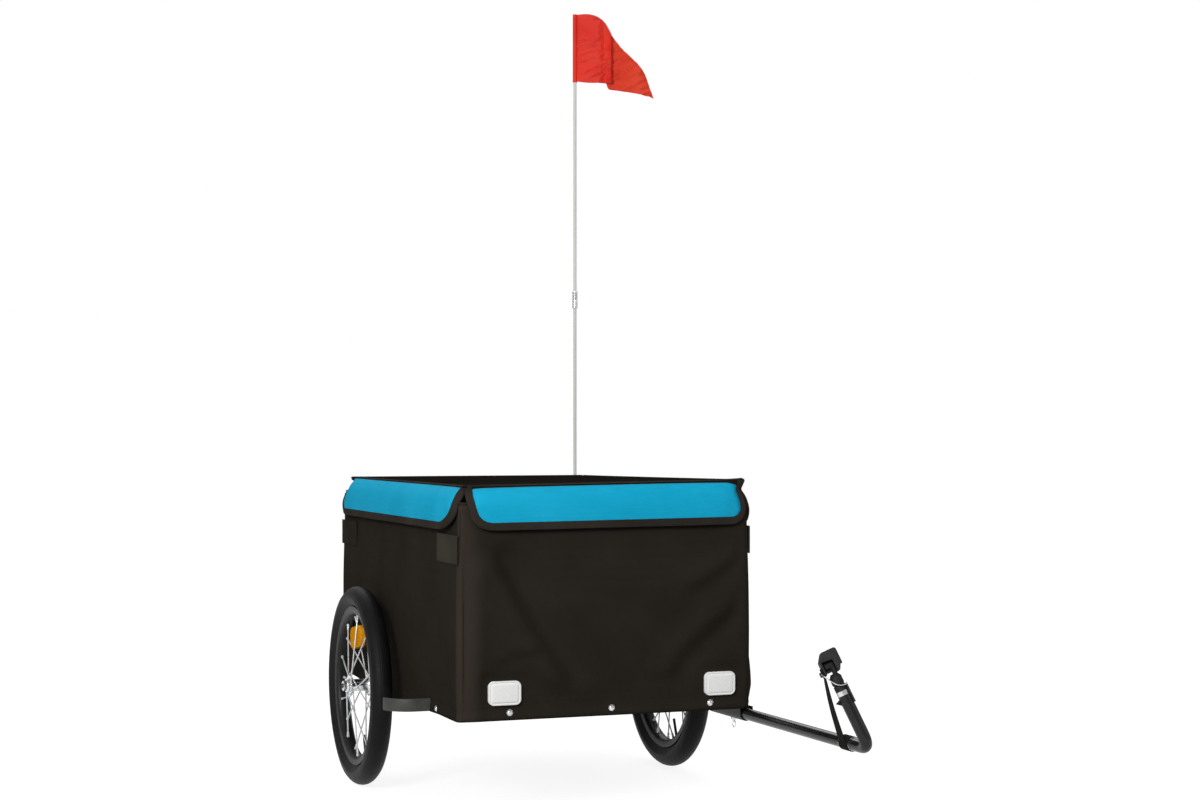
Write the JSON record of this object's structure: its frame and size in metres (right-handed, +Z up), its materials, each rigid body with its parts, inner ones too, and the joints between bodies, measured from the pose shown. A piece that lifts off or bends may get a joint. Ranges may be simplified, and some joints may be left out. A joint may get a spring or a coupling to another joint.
{
  "type": "bicycle trailer",
  "caption": "Two-wheeled bicycle cargo trailer: lidded fabric box on a tube frame, spoked push-button wheels, side tow arm with a pinned flexible coupling, and a safety flag on a jointed pole.",
  "frame": {"origin": "on the ground under the middle of the bounding box", "axes": "+Z up, -Y to the front where the tow arm points, +X to the trailer's own left side, where the tow arm is"},
  "size_m": [0.8084, 1.3762, 1.6755],
  "materials": {
    "black_fabric": "matt coated cloth",
    "blue_fabric": "coated cloth with a soft sheen",
    "black_webbing": "woven webbing",
    "flag_fabric": "thin bright cloth",
    "black_frame": "satin black paint",
    "bare_steel": "bright zinc plated",
    "alloy_hub": "polished",
    "black_plastic": "moulded, fine grain",
    "tyre_rubber": "matt black",
    "soft_rubber": "matt black",
    "floor_board": "plain board",
    "white_lens": "clear prismatic lens over a white back",
    "red_lens": "red prismatic lens",
    "orange_lens": "orange prismatic lens",
    "white_pole": "pultruded white glass fibre"
  },
  "bodies": {
    "trailer": {"base_frame": "black_frame", "floor_panel": "floor_board", "post_front_left": "black_frame", "post_front_right": "black_frame", "post_rear_left": "black_frame", "post_rear_right": "black_frame", "top_rim": "black_frame", "tub": "black_fabric", "tab_front_left": "black_webbing", "tab_front_right": "black_webbing", "tab_rear_left": "black_webbing", "tab_rear_right": "black_webbing", "reflector_front_left": "white_lens", "reflector_front_right": "white_lens", "reflector_rear_left": "red_lens", "reflector_rear_right": "red_lens", "carrier_left": "black_frame", "carrier_right": "black_frame", "guard_left": "black_frame", "guard_right": "black_frame", "arm_bracket": "black_frame", "tow_arm": "black_frame", "joint_sleeve": "black_frame", "strap_band": "bare_steel", "safety_strap": "black_webbing", "flag_socket": "black_plastic"},
    "lid": {"cover": "black_fabric", "inset_front": "blue_fabric", "inset_rear": "blue_fabric", "inset_left": "blue_fabric", "inset_right": "blue_fabric"},
    "arm_lock": {"lock_pin": "bare_steel"},
    "arm_lock_ring": {"pull_ring": "bare_steel"},
    "flexible_joint": {"swivel_collar": "bare_steel", "flex_joint": "soft_rubber"},
    "hitch_head": {"coupler_head": "black_plastic"},
    "pin": {"hitch_pin": "bare_steel"},
    "bail": {"wire_bail": "bare_steel"},
    "left_axle": {"axle_left": "bare_steel"},
    "left_wheel": {"tyre_left": "tyre_rubber", "inner_tube_left": "soft_rubber", "rim_left": "black_frame", "spoked_hub_left": "alloy_hub", "bearing_outer_left": "bare_steel", "bearing_inner_left": "bare_steel", "spoke_reflector_left": "orange_lens"},
    "left_button": {"button_left": "black_plastic"},
    "right_axle": {"axle_right": "bare_steel"},
    "right_wheel": {"tyre_right": "tyre_rubber", "inner_tube_right": "soft_rubber", "rim_right": "black_frame", "spoked_hub_right": "alloy_hub", "bearing_outer_right": "bare_steel", "bearing_inner_right": "bare_steel", "spoke_reflector_right": "orange_lens"},
    "right_button": {"button_right": "black_plastic"},
    "lower_pole": {"pole_lower": "white_pole"},
    "upper_pole": {"pole_upper": "white_pole", "flag": "flag_fabric"}
  },
  "joints": [
    {"name": "cover_lift", "type": "slide", "parent": "trailer", "child": "lid", "axis": [0, 0, 1], "range_m": [0, 0.3]},
    {"name": "lock_pin_pull", "type": "slide", "parent": "trailer", "child": "arm_lock", "axis": [0, 0, -1], "range_m": [0, 0.045]},
    {"name": "pull_ring_swing", "type": "hinge", "parent": "arm_lock", "child": "arm_lock_ring", "pos_m": [0.25375, -0.16264, 0.1587], "axis": [0, 1, 0], "range_deg": [-60, 60]},
    {"name": "coupling_swivel", "type": "hinge", "parent": "trailer", "child": "flexible_joint", "pos_m": [0.23732, -0.65262, 0.2654], "axis": [-0.3221, 0.3301, 0.8873], "range_deg": [-60, 60], "deforming": ["safety_strap"]},
    {"name": "coupling_pivot", "type": "hinge", "parent": "flexible_joint", "child": "hitch_head", "pos_m": [0.22212, -0.63704, 0.30728], "axis": [0.8826, -0.2342, 0.4075], "range_deg": [-25, 4], "deforming": ["safety_strap"]},
    {"name": "hitch_pin_pull", "type": "slide", "parent": "hitch_head", "child": "pin", "axis": [-0.8826, 0.2342, -0.4075], "range_m": [0, 0.042], "deforming": ["safety_strap"]},
    {"name": "wire_bail_swing", "type": "hinge", "parent": "pin", "child": "bail", "pos_m": [0.20411, -0.63227, 0.29896], "axis": [0.3423, 0.9144, -0.2159], "range_deg": [0, 120], "deforming": ["safety_strap"]},
    {"name": "left_wheel_pull", "type": "slide", "parent": "trailer", "child": "left_axle", "axis": [1, 0, 0], "range_m": [0, 0.08]},
    {"name": "left_wheel_spin", "type": "hinge", "parent": "left_axle", "child": "left_wheel", "pos_m": [0.30565, 0.30136, 0.2], "axis": [1, 0, 0], "continuous": true},
    {"name": "left_button_press", "type": "slide", "parent": "left_axle", "child": "left_button", "axis": [-1, 0, 0], "range_m": [0, 0.003], "stiffness_N_per_m": 400, "springref_m": -0.002},
    {"name": "right_wheel_pull", "type": "slide", "parent": "trailer", "child": "right_axle", "axis": [-1, 0, 0], "range_m": [0, 0.08]},
    {"name": "right_wheel_spin", "type": "hinge", "parent": "right_axle", "child": "right_wheel", "pos_m": [-0.36835, 0.30136, 0.2], "axis": [1, 0, 0], "continuous": true},
    {"name": "right_button_press", "type": "slide", "parent": "right_axle", "child": "right_button", "axis": [1, 0, 0], "range_m": [0, 0.003], "stiffness_N_per_m": 400, "springref_m": -0.002},
    {"name": "pole_pull", "type": "slide", "parent": "trailer", "child": "lower_pole", "axis": [0, 0, 1], "range_m": [0, 0.1]},
    {"name": "upper_pole_pull", "type": "slide", "parent": "lower_pole", "child": "upper_pole", "axis": [0, 0, 1], "range_m": [0, 0.03]}
  ]
}
